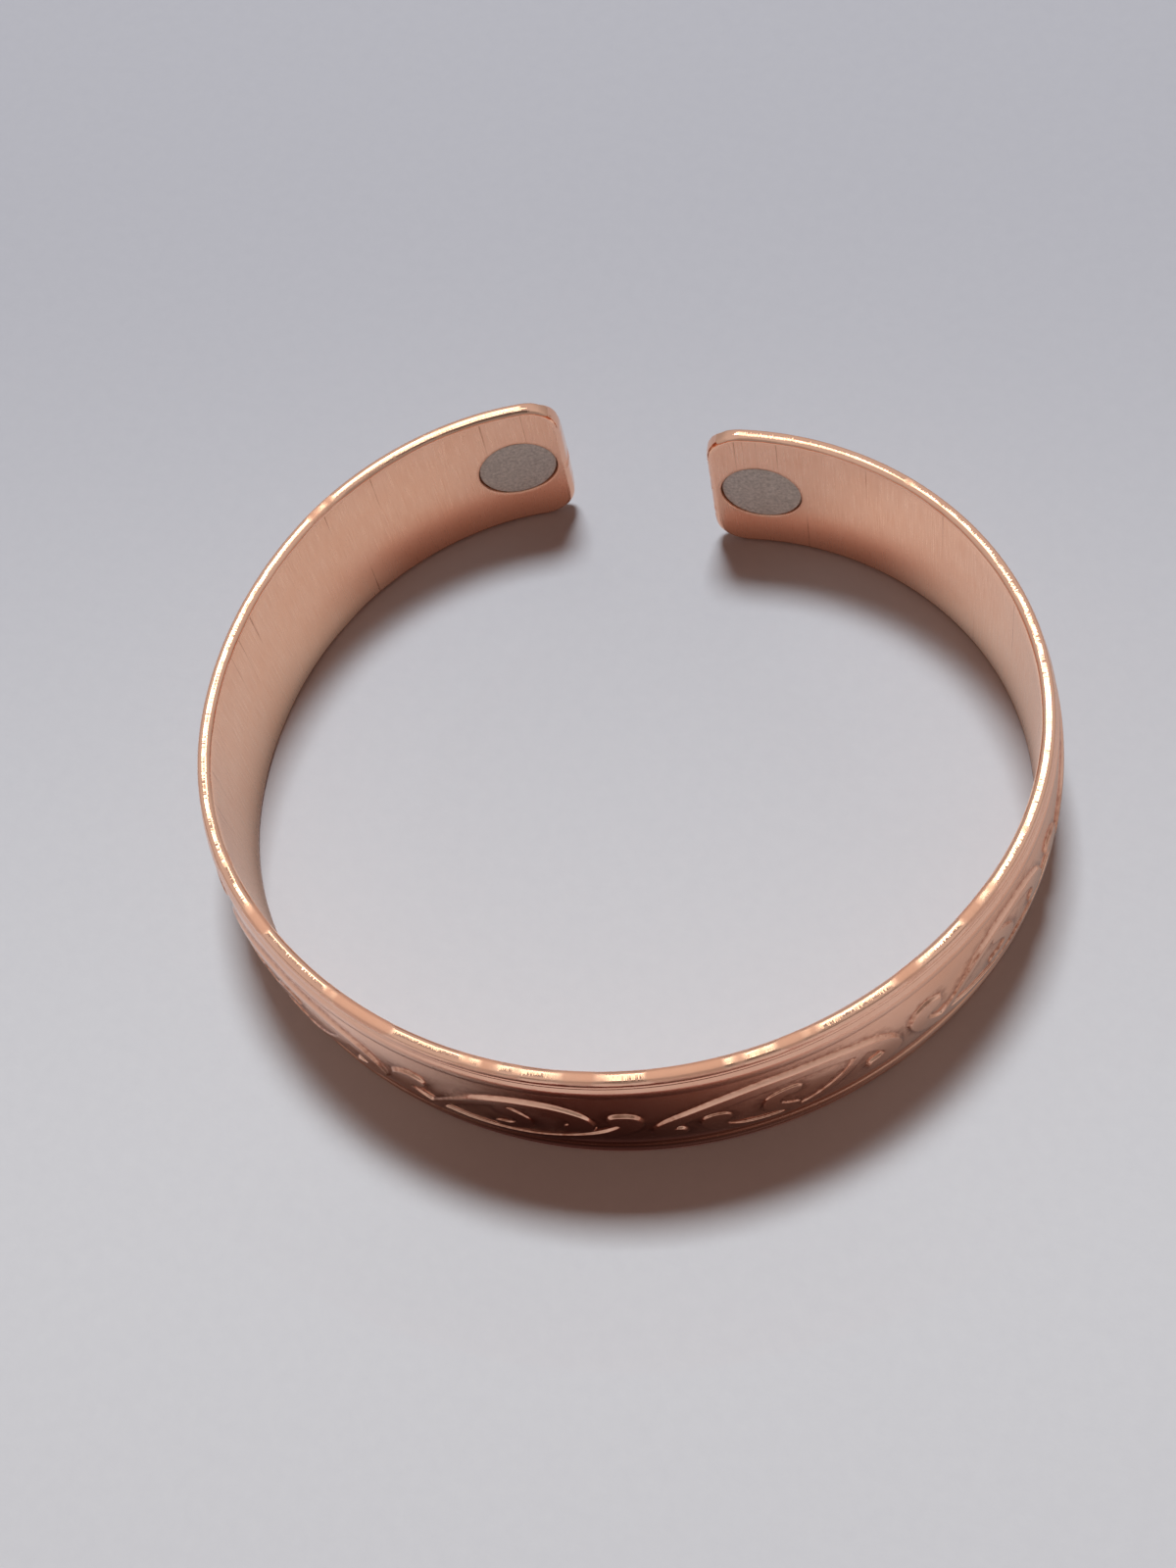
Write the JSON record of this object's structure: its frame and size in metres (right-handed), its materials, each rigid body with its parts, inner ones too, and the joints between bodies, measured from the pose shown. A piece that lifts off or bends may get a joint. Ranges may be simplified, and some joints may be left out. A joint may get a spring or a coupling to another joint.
{
  "type": "open copper cuff bracelet with magnet ends",
  "caption": "Open oval copper cuff with rolled borders, raised scroll relief and a round magnet sunk in each end; lies flat on its lower rim.",
  "frame": {"origin": "middle of the oval on the surface that the bracelet lies on, at its lower rim", "axes": "+Z along the wrist's axis, up from the lower rim; +X along the oval's long side; the gap between the ends is towards +Y"},
  "size_m": [0.0604, 0.054, 0.0135],
  "materials": {
    "copper": "polished copper, brushed inside",
    "magnet": "dull grey, speckled"
  },
  "bodies": {
    "root": {"cuff_band": "copper", "magnet_left": "magnet", "magnet_right": "magnet"}
  },
  "joints": []
}
